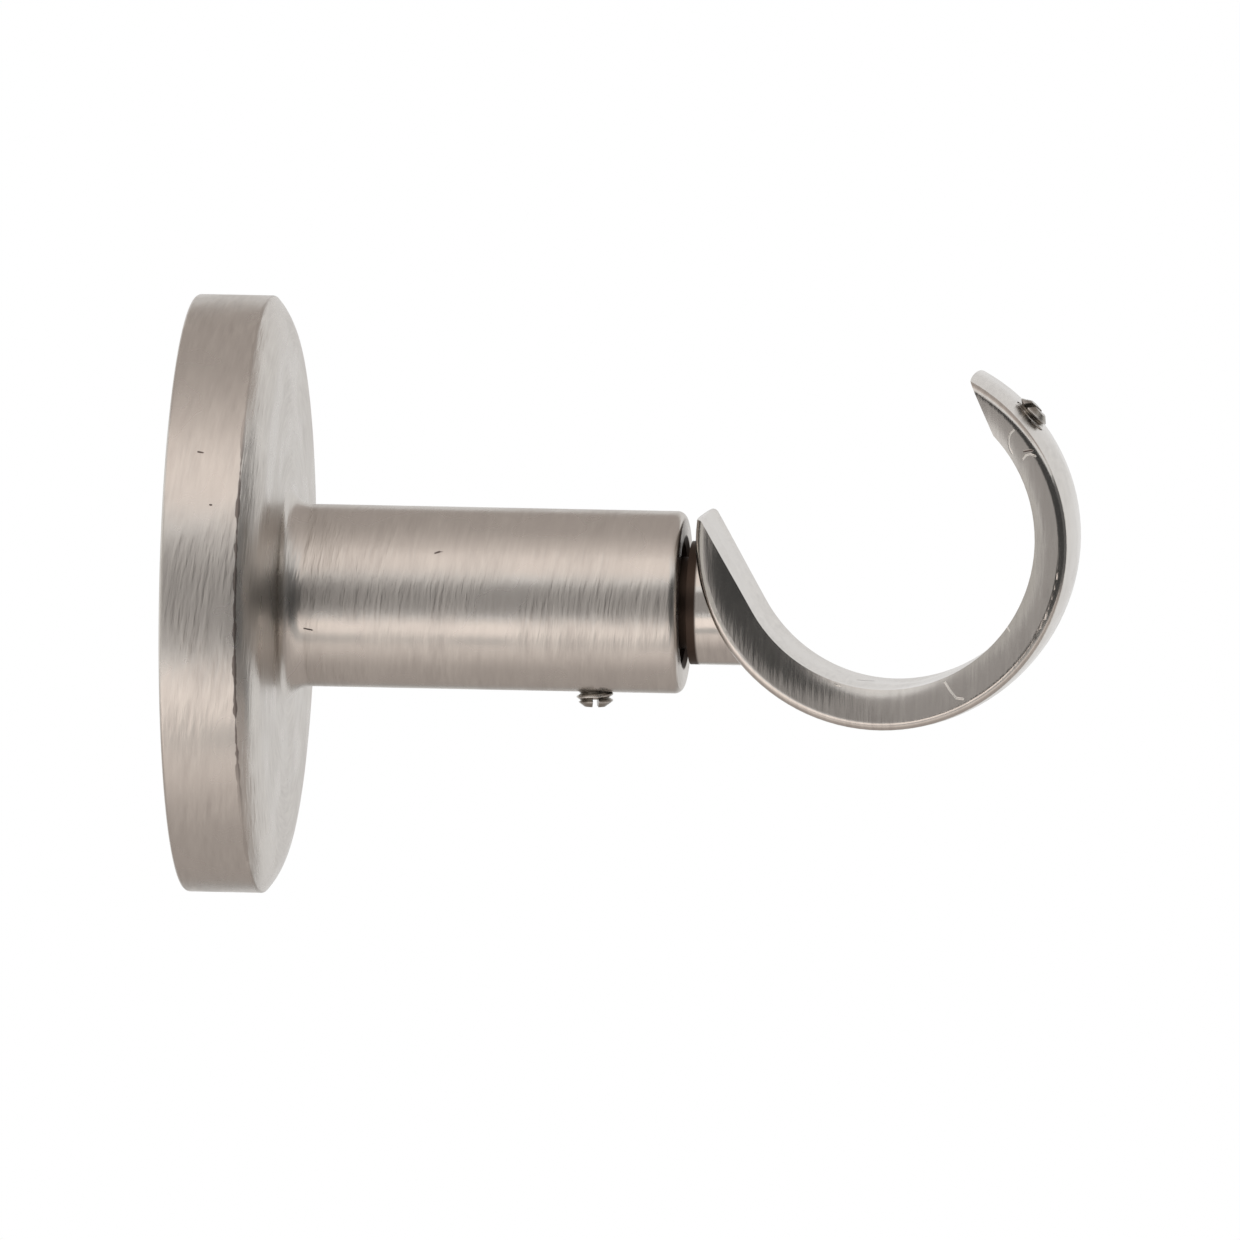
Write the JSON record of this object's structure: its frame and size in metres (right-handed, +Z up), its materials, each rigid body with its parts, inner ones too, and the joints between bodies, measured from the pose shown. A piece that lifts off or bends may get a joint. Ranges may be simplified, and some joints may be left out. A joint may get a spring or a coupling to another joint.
{
  "type": "curtain pole bracket",
  "caption": "Wall bracket for a curtain pole: a round rose with a bored barrel, and an open hook arm that slides out of the barrel and is locked by a set screw.",
  "frame": {"origin": "centre of the round rose's wall face", "axes": "+X out of the wall along the barrel, +Y along the pole, +Z up"},
  "size_m": [0.0892, 0.06, 0.06],
  "materials": {
    "satin_nickel": "zinc casting, nickel plated and brushed to a satin",
    "plate_metal": "bare zinc casting, dull",
    "screw_steel": "nickel plated steel"
  },
  "bodies": {
    "wall_base": {"rose_and_barrel": "satin_nickel", "wall_plate": "plate_metal"},
    "hook": {"hook_arm": "satin_nickel"},
    "barrel_screw": {"barrel_set_screw": "screw_steel"},
    "rose_screw": {"rose_grub_screw": "screw_steel"},
    "retaining_screw": {"pole_screw": "screw_steel"}
  },
  "joints": [
    {"name": "arm_slide", "type": "slide", "parent": "wall_base", "child": "hook", "axis": [1, 0, 0], "range_m": [0, 0.015]},
    {"name": "barrel_screw_travel", "type": "slide", "parent": "wall_base", "child": "barrel_screw", "axis": [0, 0, -1], "range_m": [0, 0.002]},
    {"name": "rose_screw_travel", "type": "slide", "parent": "wall_base", "child": "rose_screw", "axis": [0, 0, -1], "range_m": [0, 0.0015]},
    {"name": "pole_screw_travel", "type": "slide", "parent": "hook", "child": "retaining_screw", "axis": [0.7547, 0, 0.6561], "range_m": [-0.0012, 0.002]}
  ]
}
